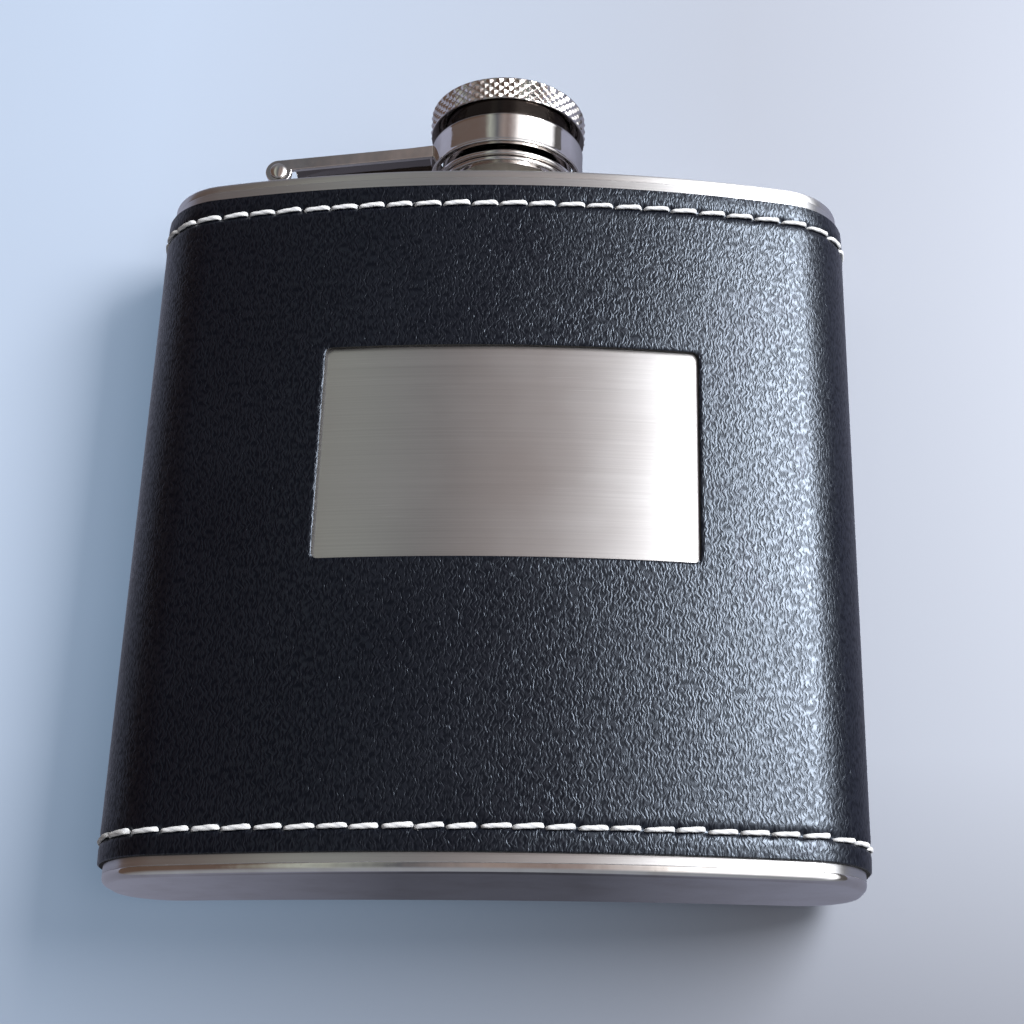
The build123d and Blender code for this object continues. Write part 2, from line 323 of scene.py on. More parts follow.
def turned(name, profile, columns, shape=None, poles=False, smooth=38.0):
    """A profile of (radius, height) turned about the Z axis: (r cos a, r sin a, z). shape(angle, r,
    z) may return new radii and heights for the grid, for knurls and threads."""
    angle = (np.arange(columns) * tau / columns)[:, None]
    radius, height = (np.broadcast_to(part, (columns, len(profile))) for part in profile.T)
    if shape is not None:
        radius, height = shape(angle, radius, height)
    points = np.stack([radius * np.cos(angle), radius * np.sin(angle), height], axis=-1)
    around = np.arange(columns + 1) * tau / columns * profile[:, 0].max() * 10
    uv_v = along(profile if poles else np.concatenate([profile, profile[:1]]))
    return closed_grid(name, points, around, uv_v, poles, smooth)


def outline_table(sizes):
    """The steel's outline as running length, points and outward normals. From the middle of the back
    it follows the hollow back arc, the back corner, the straight side, the front corner and the
    bowed front to the front's middle; the other half is its mirror image. An arc's point is its
    centre plus its radius times a unit vector, and its normal is that vector, turned round where
    the arc is hollow."""
    half = (body_high.x - body_low.x) / 2
    depth = body_high.y - body_low.y
    rf, cf, cb, hollow = sizes.front_radius, sizes.front_corner, sizes.back_corner, sizes.back_hollow
    ridge = half - cb
    rb = (ridge**2 - cb**2 + (cb - hollow) ** 2) / (2 * hollow)
    back_turn = asin(ridge / (rb + cb))
    front_turn = asin((half - cf) / (rf - cf))

    def beside(middle, reach, turn):
        return middle + reach * np.array([sin(turn), -cos(turn)])

    def arc(centre, radius, start, end, hollowed=False):
        a = np.linspace(start, end, 900)
        unit = np.stack([np.sin(a), -np.cos(a)], axis=-1)
        return centre + radius * unit, -unit if hollowed else unit

    back_centre = np.array([0.0, depth / 2 - hollow + rb])
    front_centre = np.array([0.0, rf - depth / 2])
    pieces = [
        arc(back_centre, rb, 0, back_turn, True),
        arc(beside(back_centre, rb + cb, back_turn), cb, pi + back_turn, pi / 2),
        arc(beside(front_centre, rf - cf, front_turn), cf, pi / 2, front_turn),
        arc(front_centre, rf, front_turn, 0),
    ]
    points, normals = (np.concatenate(part) for part in zip(*pieces))
    points = np.concatenate([points, (points * [-1, 1])[::-1]])
    normals = np.concatenate([normals, (normals * [-1, 1])[::-1]])
    steps = np.linalg.norm(np.diff(points, axis=0), axis=1)
    keep = np.concatenate([[True], steps > 1e-9])
    run = np.concatenate([[0.0], np.cumsum(steps)])
    return run[keep], points[keep], normals[keep]


def standing(table, run, offset, height):
    """Points that stand off the steel: the outline's point at the running length, plus its normal
    times the offset, at the height."""
    run, offset, height = np.broadcast_arrays(run, offset, height)
    lengths, points, normals = table
    at = np.mod(run, lengths[-1])
    p, q = (
        np.stack([np.interp(at, lengths, part[:, k]) for k in (0, 1)], axis=-1) for part in (points, normals)
    )
    q = q / np.linalg.norm(q, axis=-1, keepdims=True)
    return np.concatenate([p + q * offset[..., None], height[..., None]], axis=-1)


def smooth_noise(x, y, period, seed):
    """Gradient noise: at each whole-numbered lattice point a fixed random direction, and between the
    points the four corners' dot products mixed by 6t^5-15t^4+10t^3. It repeats every period
    lattice steps along x, so a pattern can close round the flask."""
    rng = np.random.default_rng(seed)
    angle = rng.uniform(0, tau, (period, 512))
    x0, y0 = np.floor(x).astype(int), np.floor(y).astype(int)
    fx, fy = x - x0, y - y0

    def corner(dx, dy):
        a = angle[(x0 + dx) % period, (y0 + dy) % 512]
        return np.cos(a) * (fx - dx) + np.sin(a) * (fy - dy)

    u = fx**3 * (fx * (fx * 6 - 15) + 10)
    v = fy**3 * (fy * (fy * 6 - 15) + 10)
    low = corner(0, 0) * (1 - u) + corner(1, 0) * u
    high = corner(0, 1) * (1 - u) + corner(1, 1) * u
    return (low * (1 - v) + high * v) * 1.414


def long_grain(run, height, total):
    """Boarded leather: ridges about 1 mm apart that run mostly up the flask and wander. Two noises
    stretched up the flask are added, with their places first shifted sideways by a broad noise."""
    drift = smooth_noise(run / total * 150, height / (1.6 * MM) + 7, 150, 11)
    wide = round(total / (0.62 * MM))
    fine = round(total / (0.46 * MM))
    a = smooth_noise(run / total * wide + 1.1 * drift, height / (1.7 * MM), wide, 12)
    b = smooth_noise(run / total * fine + 1.3 * drift, height / (1.2 * MM) + 3, fine, 13)
    return a * 0.9 + b * 0.6


class Graph:
    """Short hand for the node tree of a material or of the world."""

    def __init__(self, owner, output="ShaderNodeOutputMaterial"):
        owner.use_nodes = True
        self.owner, self.tree = owner, owner.node_tree
        self.tree.nodes.clear()
        self.output = self.tree.nodes.new(output)

    def add(self, kind, settings=None, **inputs):
        """A node with its settings and inputs: a socket feeds the input, a number or tuple sets it."""
        node = self.tree.nodes.new(kind)
        for key, value in (settings or {}).items():
            setattr(node, key, value)
        for key, value in inputs.items():
            socket = node.inputs[int(key[1:])] if key[0] == "_" else node.inputs[key.replace("_", " ")]
            if isinstance(value, bpy.types.NodeSocket):
                self.tree.links.new(value, socket)
            else:
                socket.default_value = value
        return node

    def flat(self, along_it, across, turn=0.0):
        """The piece's flat map, scaled along its two axes and turned."""
        place = self.add("ShaderNodeUVMap", {"uv_map": "flat"}).outputs["UV"]
        scale = (along_it, across, 1.0)
        return self.add("ShaderNodeMapping", Vector=place, Scale=scale, Rotation=(0.0, 0.0, turn)).outputs[0]

    def own(self, *scale, turn=0.0):
        """The piece's own coordinates, scaled alike or along each axis, and turned about Z."""
        place = self.add("ShaderNodeTexCoord").outputs["Object"]
        scale = scale if len(scale) == 3 else scale * 3
        return self.add("ShaderNodeMapping", Vector=place, Scale=scale, Rotation=(0.0, 0.0, turn)).outputs[0]

    def axes(self, place="Object"):
        """The three parts of a coordinate."""
        return self.add("ShaderNodeSeparateXYZ", _0=self.add("ShaderNodeTexCoord").outputs[place]).outputs

    def noise(self, place, detail=3.0, roughness=0.55):
        return self.add(
            "ShaderNodeTexNoise", Vector=place, Scale=1.0, Detail=detail, Roughness=roughness
        ).outputs["Fac"]

    def span(self, value, low, high, to_low=0.0, to_high=1.0):
        """value's share between low and high, held to those ends, as a number from to_low to to_high."""
        return self.add("ShaderNodeMapRange", _0=value, _1=low, _2=high, _3=to_low, _4=to_high).outputs[0]

    def math(self, operation, a, b=0.0):
        return self.add("ShaderNodeMath", {"operation": operation}, _0=a, _1=b).outputs[0]

    def times(self, *factors):
        """The product of all the factors."""
        whole = factors[0]
        for factor in factors[1:]:
            whole = self.math("MULTIPLY", whole, factor)
        return whole

    def mix(self, share, a, b):
        """Colour a where share is 0 and b where it is 1."""
        a, b = (c if isinstance(c, bpy.types.NodeSocket) else (*c, 1.0) for c in (a, b))
        return self.add("ShaderNodeMix", {"data_type": "RGBA"}, _0=share, _6=a, _7=b).outputs[2]

    def either(self, share, a, b):
        """Shader a where share is 0 and b where it is 1."""
        return self.add("ShaderNodeMixShader", _0=share, _1=a.outputs[0], _2=b.outputs[0])

    def bump(self, height, distance, strength=1.0, **normal):
        relief = {"Height": height, "Distance": distance, "Strength": strength, **normal}
        return self.add("ShaderNodeBump", **relief).outputs[0]

    def end(self, shader):
        """Feeds the shader to the output, and returns the material."""
        self.tree.links.new(shader.outputs[0], self.output.inputs[0])
        return self.owner

    def shade(self, **inputs):
        """Closes the material with a Principled shader, and returns the material."""
        return self.end(self.add("ShaderNodeBsdfPrincipled", **inputs))


def tinted(colour_of, *shares):
    """A colour with each of its parts multiplied by a share."""
    return tuple(part * share for part, share in zip(colour_of, shares))


def satin_steel(g, finishes):
    """Brushed steel: strokes long along the map's first axis, which set the colour, the roughness and
    a fine relief, with a few stray scratches and faint smudges over them. The light spreads across
    the strokes."""
    strokes = g.noise(g.flat(3.0, 2400.0), 4.0, 0.7)
    broad = g.noise(g.flat(1.5, 288.0), 2.0)
    scratch = g.noise(g.flat(9.0, 420.0, turn=0.35), 1.0)
    mark = g.span(scratch, 0.70, 0.74)
    smudge = g.noise(g.flat(7.0, 7.0))
    tone = g.math("ADD", g.times(strokes, 0.7), g.times(broad, 0.3))
    steel = g.mix(g.span(tone, 0.30, 0.72), finishes.satin_dark, finishes.satin_light)
    steel = g.mix(g.times(mark, 0.35), steel, (0.85, 0.85, 0.85))
    relief = g.math("ADD", strokes, g.times(mark, -0.6))
    return g.shade(
        Base_Color=steel,
        Metallic=1.0,
        Roughness=g.math("ADD", g.span(strokes, 0.3, 0.7, 0.27, 0.37), g.span(smudge, 0.35, 0.7, 0.0, 0.06)),
        Anisotropic=0.72,
        Anisotropic_Rotation=0.25,
        Tangent=g.add("ShaderNodeTangent", {"direction_type": "UV_MAP", "uv_map": "flat"}).outputs[0],
        Normal=g.bump(relief, 0.000004, 0.5),
    )


def polished_steel(g, finishes):
    """Polished steel: buffing leaves slow waves that bend reflections, a haze that comes and goes,
    hairlines, and a little tarnish in the colour. The recess between the ring and the cap's head
    and the hollow under the arm are painted dark: painted shade where the real shade falls."""
    line = g.span(g.noise(g.own(1200.0, 9000.0, 2500.0, turn=0.6), 2.0), 0.66, 0.72)
    tarnish = g.span(g.noise(g.own(120.0), 4.0), 0.45, 0.75)
    steel = g.mix(tarnish, finishes.polished, tinted(finishes.polished, 0.80, 0.77, 0.74))
    side, across, height = g.axes()
    above_ring = g.span(height, ring_high.z - 0.5 * MM, ring_high.z + 0.3 * MM)
    below_head = g.span(height, head_low.z + 0.02 * MM, head_low.z + 0.12 * MM, 1.0, 0.0)
    # the painted shade of the hollow lies under the arm's sloping web, between its two walls, from the
    # knuckle to the ring
    web, slope, floor, soft = 102.85 * MM, 0.12, 95.9 * MM, 0.1 * MM
    middle, half_long, half_wide = -20.15 * MM, 9.3 * MM, 2.32 * MM
    under_web = g.span(g.math("SUBTRACT", height, g.times(side, slope)), web, web + soft, 1.0, 0.0)
    above_floor = g.span(height, floor, floor + soft)
    from_middle = g.math("ABSOLUTE", g.math("SUBTRACT", side, middle))
    along_arm = g.span(from_middle, half_long, half_long + soft, 1.0, 0.0)
    between_walls = g.span(g.math("ABSOLUTE", across), half_wide, half_wide + soft, 1.0, 0.0)
    hollow = g.times(under_web, above_floor, along_arm, between_walls)
    # painted shade: the recess above the ring and the hollow under the arm get a dark steel colour in place
    # of shade
    painted_shade = g.math("MAXIMUM", g.times(above_ring, below_head), hollow)
    haze = g.span(g.noise(g.own(900.0)), 0.35, 0.7, 0.035, 0.11)
    waves = g.bump(g.noise(g.own(260.0), 2.0), 0.000072, 0.5)
    return g.shade(
        Base_Color=g.mix(painted_shade, steel, tinted(finishes.polished, 0.26, 0.24, 0.23)),
        Metallic=1.0,
        Roughness=g.math("ADD", haze, g.times(line, 0.08)),
        Normal=g.bump(line, -0.000002, 0.4, Normal=waves),
    )


def grained_leather(g, finishes):
    """Black leather. A noise stretched up the flask, its place shifted sideways by a broader one, gives
    fine wandering ridges between the modelled ones; their valleys are darker and duller. Pores lie
    over them as relief, and slow patches of wear change the gloss."""
    ridge = g.add("ShaderNodeAttribute", {"attribute_name": "grain"}).outputs["Fac"]
    aside = g.add("ShaderNodeCombineXYZ", _0=g.times(g.noise(g.flat(75.0, 100.0), 1.0), 4.2)).outputs[0]
    place = g.add("ShaderNodeVectorMath", {"operation": "ADD"}, _0=g.flat(410.0, 130.0), _1=aside)
    wrinkle = g.span(g.noise(place.outputs[0], 0.6, 0.4), 0.36, 0.62)
    pores = g.noise(g.flat(900.0, 700.0), 2.0)
    wear = g.span(g.noise(g.flat(6.0, 6.0)), 0.3, 0.7, -0.03, 0.05)
    tone = g.times(g.span(ridge, -0.5, 0.5, 0.5, 1.0), wrinkle)
    return g.shade(
        Base_Color=g.mix(tone, finishes.leather_low, finishes.leather),
        Roughness=g.math("ADD", g.span(tone, 0.0, 1.0, 0.32, 0.25), wear),
        IOR=1.55,
        Specular_IOR_Level=g.span(tone, 0.0, 0.7, 0.22, 0.56),
        Specular_Tint=(0.76, 0.86, 1.0, 1.0),
        Normal=g.bump(pores, 0.000012, 0.3, Normal=g.bump(wrinkle, 0.000021)),
    )


def cut_leather(g, finishes):
    """The cut edge: raw fibre, dyed almost black."""
    fibre = g.noise(g.own(9000.0), 4.0)
    return g.shade(
        Base_Color=g.mix(g.span(fibre, 0.35, 0.65), (0.004, 0.0035, 0.003), (0.022, 0.018, 0.015)),
        Roughness=g.span(fibre, 0.3, 0.7, 0.95, 0.75),
        Normal=g.bump(fibre, 0.00005, 0.6),
    )


def sewing_thread(g, finishes):
    """Twisted polyester thread: fine fibres along the plies, with painted shade where two plies meet
    and at the two ends of each stitch.
    """
    crease = g.add("ShaderNodeAttribute", {"attribute_name": "crease"}).outputs["Fac"]
    fibre = g.noise(g.flat(90.0, 2600.0, turn=0.5))
    soil = g.noise(g.own(240.0))
    # painted shade: the thread's colour darkens where the plies meet and at the stitch tips
    tone = g.mix(g.span(crease, 0.0, 0.8), tinted(finishes.thread, 0.60, 0.61, 0.64), finishes.thread)
    tone = g.mix(g.span(fibre, 0.35, 0.65, 0.3, 0.0), tone, (0.45, 0.45, 0.47))
    return g.shade(
        Base_Color=g.mix(g.span(soil, 0.55, 0.8, 0.0, 0.25), tone, (0.50, 0.48, 0.45)),
        Roughness=g.span(fibre, 0.3, 0.7, 0.85, 0.62),
        Specular_IOR_Level=0.3,
        Sheen_Weight=0.25,
        Sheen_Roughness=0.4,
        Normal=g.bump(fibre, 0.00004, 0.6),
    )


def moulded_plastic(g, finishes):
    """Moulded liner: faint flow marks and a slightly uneven gloss."""
    flow = g.span(g.noise(g.own(300.0, 300.0, 60.0)), 0.35, 0.7)
    grit = g.noise(g.own(2500.0), 2.0)
    return g.shade(
        Base_Color=g.mix(flow, finishes.liner, tinted(finishes.liner, 0.86, 0.85, 0.82)),
        Roughness=g.span(grit, 0.3, 0.7, 0.38, 0.56),
        Normal=g.bump(grit, 0.00001, 0.4),
    )


def gasket_rubber(g, finishes):
    """Rubber: dull, with fine grit and paler rubbed places."""
    grit = g.noise(g.own(3000.0))
    rubbed = g.span(g.noise(g.own(400.0)), 0.5, 0.75)
    return g.shade(
        Base_Color=g.mix(rubbed, finishes.gasket, tinted(finishes.gasket, 2.2, 2.2, 2.2)),
        Roughness=g.span(grit, 0.3, 0.7, 0.7, 0.9),
        Normal=g.bump(grit, 0.00002, 0.6),
    )


FINISHES = {
    "brushed_steel": satin_steel,
    "buffed_steel": polished_steel,
    "grained_leather": grained_leather,
    "leather_cut_edge": cut_leather,
    "twisted_thread": sewing_thread,
    "moulded_plastic": moulded_plastic,
    "dull_rubber": gasket_rubber,
}


def finish(name):
    """The named material, made the first time that a piece asks for it."""
    found = bpy.data.materials.get(name)
    return found or FINISHES[name](Graph(bpy.data.materials.new(name)), bpy.context.scene.flask_finishes)


class FLASK_OT_body(bpy.types.Operator):
    """Builds the steel body: sleeve, base plate and top plate"""

    bl_idname = "flask.make_body"
    bl_label = "Steel body"

    def execute(self, context):
        sizes, cap = context.scene.flask_body, context.scene.flask_cap
        table = outline_table(sizes)
        run = np.arange(sizes.stations) / sizes.stations * table[0][-1]
        round_it = np.append(run, table[0][-1]) * 10
        self.make_sleeve(table, run, round_it, sizes)
        self.make_base(table, run, round_it, sizes)
        self.make_lid(table, run, round_it, sizes, cap.bore + cap.neck_wall)
        return {"FINISHED"}

    def make_sleeve(self, table, run, round_it, sizes):
        """A thin wall carried round the outline. Its outer edges are broken a little where the plates
        are welded on."""
        wall, brk = sizes.wall, sizes.seam_break
        corners = [(0, body_low.z), (0, body_high.z), (-wall, body_high.z), (-wall, body_low.z)]
        section = refine(rounded(corners, [brk, brk, 0, 0]), 6 * MM)
        points = standing(table, run[:, None], section[None, :, 0], section[None, :, 1])
        down = along(np.concatenate([section, section[:1]]))
        mesh = closed_grid("steel_sleeve", points, round_it, down)
        piece_from(mesh, "flask", "body_sleeve", "brushed_steel")

    def make_base(self, table, run, round_it, sizes):
        """The base plate is a shallow dish: its rim follows the outline, and its two faces run from the
        rim to the middle along straight lines. The outer face has slow waves, a sum of two gradient
        noises that fades out towards the rim."""
        wall, brk, low, high = sizes.wall, sizes.seam_break, base_low.z, base_high.z
        part = brk * 0.3
        inner = [(0, high - brk), (-part, high - part), (-brk, high), (-wall, high), (-wall, low + wall)]
        rim = np.concatenate([corner_arc(0, low, sizes.base_edge, 9), inner])
        ring = standing(table, run[:, None], rim[None, :, 0], rim[None, :, 1])

        def spokes(edge, shares, height):
            flat = edge[:, None, :2] * shares[None, :, None]
            return np.concatenate([flat, np.full(flat.shape[:2] + (1,), height)], axis=-1)

        share = np.linspace(0, 1, 44)[:-1] ** 0.85
        under = spokes(ring[:, 0], share, low)
        x, y = under[..., 0] / (11 * MM), under[..., 1] / (8 * MM)
        wave = smooth_noise(x + 40, y + 40, 128, 5) + 0.5 * smooth_noise(x * 2.3 + 40, y * 2.3 + 40, 128, 6)
        fade = np.clip((1 - share) / 0.12, 0, 1)
        under[..., 2] += sizes.base_wave * fade * (0.55 + 0.6 * wave).clip(0, 2)
        under[:, 0, 2] = under[:, 1, 2].mean()
        upper = spokes(ring[:, -1], np.linspace(1, 0, 8)[1:], low + wall)
        points = np.concatenate([under, ring, upper], axis=1)
        mesh = closed_grid("base_dish", points, round_it, along(points[0]), poles=True)
        piece_from(mesh, "flask", "bottom_plate", "buffed_steel")

    def make_lid(self, table, run, round_it, sizes, hole):
        """The top plate's section at each place round the outline: up the rim to its rounded edge, in
        over the top to the neck's hole, down, and back out along the underside. Between the rim and
        the hole the faces run straight, towards the hole's point at the same bearing."""
        wall, brk, edge = sizes.wall, sizes.seam_break, sizes.lid_edge
        low, high = lid_low.z, lid_high.z
        part = brk * 0.3
        lower = [(-wall, low), (-brk, low), (-part, low + part), (0, low + brk)]
        rim = np.concatenate([lower, corner_arc(0, high, edge, 7, upper=True)])
        ring = standing(table, run[:, None], rim[None, :, 0], rim[None, :, 1])
        outline = standing(table, run, 0.0, 0.0)
        bearing = np.arctan2(outline[:, 1], outline[:, 0])
        hub = np.stack([np.cos(bearing), np.sin(bearing)], axis=-1)[:, None] * hole

        def between(offset, height, shares):
            edge_points = standing(table, run, offset, height)[:, None, :2]
            flat = edge_points * (1 - shares)[:, None] + hub * shares[:, None]
            return np.concatenate([flat, np.full(flat.shape[:2] + (1,), height)], axis=-1)

        over = between(-edge, high, np.linspace(0, 1, 14)[1:])
        under = between(-wall, high - wall, np.linspace(1, 0, 6))
        points = np.concatenate([ring, over, under], axis=1)
        down = along(np.concatenate([points[0], points[0][:1]]))
        mesh = closed_grid("shoulder_plate", points, round_it, down)
        piece_from(mesh, "flask", "top_plate", "brushed_steel")


def needle_places(total, pitch):
    """Running lengths of the stitches' middles: equal steps round the whole outline."""
    n = round(total / pitch)
    return (np.arange(n) + 0.5) * total / n, total / n


def row_heights():
    """Heights of the upper and the lower row of stitches."""
    return (top_row_low.z + top_row_high.z) / 2, (bottom_row_low.z + bottom_row_high.z) / 2


def bell(distance, width):
    """A bell curve: e to the power of minus the square of distance over width."""
    return np.exp(-((distance / width) ** 2))


class FLASK_OT_wrap(bpy.types.Operator):
    """Builds the leather wrap as one closed skin with its window, grain and sewn grooves"""

    bl_idname = "flask.make_wrap"
    bl_label = "Leather wrap"

    def execute(self, context):
        wrap = context.scene.flask_wrap
        table = outline_table(context.scene.flask_body)
        total = table[0][-1]
        run, left, right = self.columns(wrap, context.scene.flask_body, total)
        height, low, high = self.rows(wrap)
        window = (left, right, low, high)
        mesh = self.closed_skin(*self.surfaces(wrap, table, run, height, window), *window)
        piece = piece_from(mesh, "flask", "leather_wrap", "grained_leather")
        mesh.materials.append(finish("leather_cut_edge"))
        return {"FINISHED"}

    def columns(self, wrap, body, total):
        """Running lengths of the grid's columns, from one side of the back seam round to the other,
        with a column on each side of the window. On the bowed front a place x to the side lies
        front radius times asin(x / outer radius) from the front's middle. Columns are closer together
        on the front than on the back: they are equal shares of the sum of a density."""
        outer = body.front_radius + wrap.thickness
        sides = wrap.window_right, wrap.window_left
        right, left = (total / 2 - body.front_radius * asin(side / outer) for side in sides)
        ends = [wrap.seam / 2, right, left, total - wrap.seam / 2]
        even = np.linspace(0, total, 2000)
        dense = 1 + 1.3 / (1 + np.exp((np.abs(even - total / 2) - 0.27 * total) / (1.5 * MM)))
        rank = np.concatenate([[0], np.cumsum((dense[1:] + dense[:-1]) / 2)])
        places = np.interp(ends, even, rank)
        share = [round(wrap.columns * (b - a) / rank[-1]) for a, b in zip(places, places[1:])]
        spans = zip(places, places[1:], share)
        parts = [np.interp(np.linspace(a, b, n, endpoint=False), rank, even) for a, b, n in spans]
        run = np.concatenate(parts + [[ends[-1]]])
        near = np.array([0.03, 0.1]) * MM
        run[1:3], run[-3:-1] = run[0] + near, run[-1] - near[::-1]
        i, k = share[0], share[0] + share[1]
        run[i - 1], run[k + 1] = run[i] - 0.1 * MM, run[k] + 0.1 * MM
        return run, i, k

    def rows(self, wrap):
        """Heights of the grid's rows: three bands divided at the window, each with a number of rows
        that eight divides. Rows crowd together at the cut edges and in the sewn grooves, because
        each band's rows are equal shares of the sum of a base density and a bell at each such place."""
        low, bottom, top, high = edges = wrap_low.z, wrap.window_bottom, wrap.window_top, wrap_high.z
        below, beside, above = 56, 40, 40
        parts = []
        for start, end, n in ((low, bottom, below), (bottom, top, beside), (top, high, above)):
            fine = np.linspace(start, end, 4000)
            density = 1 + sum(2.2 * bell(fine - row, 0.9 * MM) for row in row_heights())
            for edge in edges:
                density += 5.0 * bell(fine - edge, 0.22 * MM)
            sum_to = np.concatenate([[0], np.cumsum((density[1:] + density[:-1]) / 2)])
            parts.append(np.interp(np.linspace(0, sum_to[-1], n + 1)[:-1], sum_to, fine))
        return np.concatenate(parts + [[high]]), below, below + beside

    def surfaces(self, wrap, table, run, height, window):
        """Points of the outer and inner skins, their places in the flat map, and the grain. A point is
        the outline's point at its running length, plus its normal times an offset. The outer offset
        is the leather's thickness, plus the grain, less a bell-shaped groove along each row of
        stitches and a deeper dimple at each needle hole, less the rounding of the nearest cut edge:
        r - sqrt(r^2 - (r - d)^2) at a distance d inside its radius r."""
        left_i, right_i, low_j, high_j = window
        total = table[0][-1]
        s, z = np.meshgrid(run, height, indexing="ij")
        grain = long_grain(s, z, total)
        middles, step = needle_places(total, wrap.pitch)
        to_hole = np.abs(np.mod(s - middles[0] + step, step) - step / 2)
        offset = np.full_like(s, wrap.thickness)
        calm = np.ones_like(s)
        for row in row_heights():
            dz = z - row
            groove = bell(dz, 0.52 * MM)
            dimple = bell(to_hole, 0.42 * MM) * bell(dz, 0.42 * MM)
            swell = bell(np.abs(dz) - 1.15 * MM, 0.55 * MM)
            offset += -wrap.groove * groove - wrap.hole * dimple + 0.035 * MM * swell
            calm *= 1 - 0.75 * groove
        offset += wrap.grain * grain * calm
        # cut edges
        beyond_s = np.maximum(np.maximum(run[left_i] - s, s - run[right_i]), 0)
        beyond_z = np.maximum(np.maximum(wrap.window_bottom - z, z - wrap.window_top), 0)
        to_window = np.hypot(beyond_s, beyond_z)
        to_rim = np.minimum(z - height[0], height[-1] - z)
        to_seam = np.minimum(s - run[0], run[-1] - s)
        for distance, radius in ((to_window, wrap.window_edge), (to_rim, wrap.edge), (to_seam, 0.1 * MM)):
            d = np.clip(distance, 0, radius)
            offset -= radius - np.sqrt(radius**2 - (radius - d) ** 2)
        # the window's corner columns and rows are drawn in to its corner arcs
        ss, zz = s.copy(), z.copy()
        r = wrap.window_corner
        for si, sign_s in ((left_i, 1), (right_i, -1)):
            for zj, sign_z in ((low_j, 1), (high_j, -1)):
                a, b = (s - run[si]) * sign_s, (z - height[zj]) * sign_z
                on_z = (np.abs(b) < 1e-9) & (a > 0) & (a < r)
                on_s = (np.abs(a) < 1e-9) & (b >= 0) & (b < r)
                turn = pi / 4 * (1 - np.where(on_z, a, b) / r)
                far, near = r - r * np.sin(turn), r - r * np.cos(turn)
                ss = np.where(on_z | on_s, run[si] + sign_s * np.where(on_z, far, near), ss)
                zz = np.where(on_z | on_s, height[zj] + sign_z * np.where(on_z, near, far), zz)
        flat = np.stack([ss * 10, zz * 10], axis=-1)
        return standing(table, ss, offset, zz), standing(table, ss, 0.012 * MM, zz), flat, grain

    def closed_skin(self, skin, inside, flat, grain, left_i, right_i, low_j, high_j):
        """Joins the outer grid, a coarser inner grid that uses every eighth row, and walls along every
        cut edge. Beside a cut edge that has all the rows, an inner face has the eight edge points
        between its two rows as corners too, so no gap is left."""
        n, m = skin.shape[:2]
        step = 8
        outer = np.arange(n * m).reshape(n, m)
        inner = outer + n * m
        keep = np.ones((n - 1, m - 1), bool)
        keep[left_i:right_i, low_j:high_j] = False
        wide = keep[:, ::step].copy()
        strips = []
        for column, edge, start, end in (
            (0, 0, 0, m - 1),
            (n - 2, n - 1, 0, m - 1),
            (left_i - 1, left_i, low_j, high_j),
            (right_i, right_i, low_j, high_j),
        ):
            wide[column, start // step : end // step] = False
            other = column + 1 if edge == column else column
            rows = np.arange(start, end, step)[:, None] + np.arange(step + 1)
            far = np.stack([inner[other][rows[:, -1]], inner[other][rows[:, 0]]], axis=-1)
            ring = np.concatenate([inner[edge][rows], far], axis=1)
            strips.append(ring[:, ::-1] if edge > other else ring)
        faces = [cells(outer)[keep], cells(inner[:, ::step])[wide][:, ::-1], *strips]
        count_skins = sum(len(block) for block in faces)
        across, up = slice(left_i, right_i + 1), slice(low_j, high_j + 1)
        clockwise = (outer[:, -1], outer[0], outer[across, low_j], outer[right_i, up])
        anticlockwise = (outer[:, 0], outer[-1], outer[across, high_j], outer[left_i, up])
        for paths, order in ((clockwise, 1), (anticlockwise, -1)):
            for o in paths:
                wall = np.stack([o[:-1], o[1:], o[1:] + n * m, o[:-1] + n * m], axis=-1)
                faces.append(wall[:, ::order])
        points = np.concatenate([skin.reshape(-1, 3), inside.reshape(-1, 3)])
        uv = np.concatenate([flat.reshape(-1, 2)] * 2)
        height = np.concatenate([grain.ravel(), np.zeros(n * m)])
        mesh = mesh_from("wrap_skin", points, faces, uv, 50.0, ("grain", height))
        index = np.zeros(len(mesh.polygons), int)
        index[count_skins:] = 1
        mesh.polygons.foreach_set("material_index", index)
        return mesh


def tubes(k, m, n):
    """The quads of k tubes, each of m rings of n points, with the points' numbers and the numbers of
    the next points round the rings."""
    index = np.arange(k * m * n).reshape(k, m, n)
    after = np.roll(index, -1, axis=2)
    quads = np.stack([index[:, :-1], after[:, :-1], after[:, 1:], index[:, 1:]], axis=-1)
    return quads.reshape(-1, 4), index, after


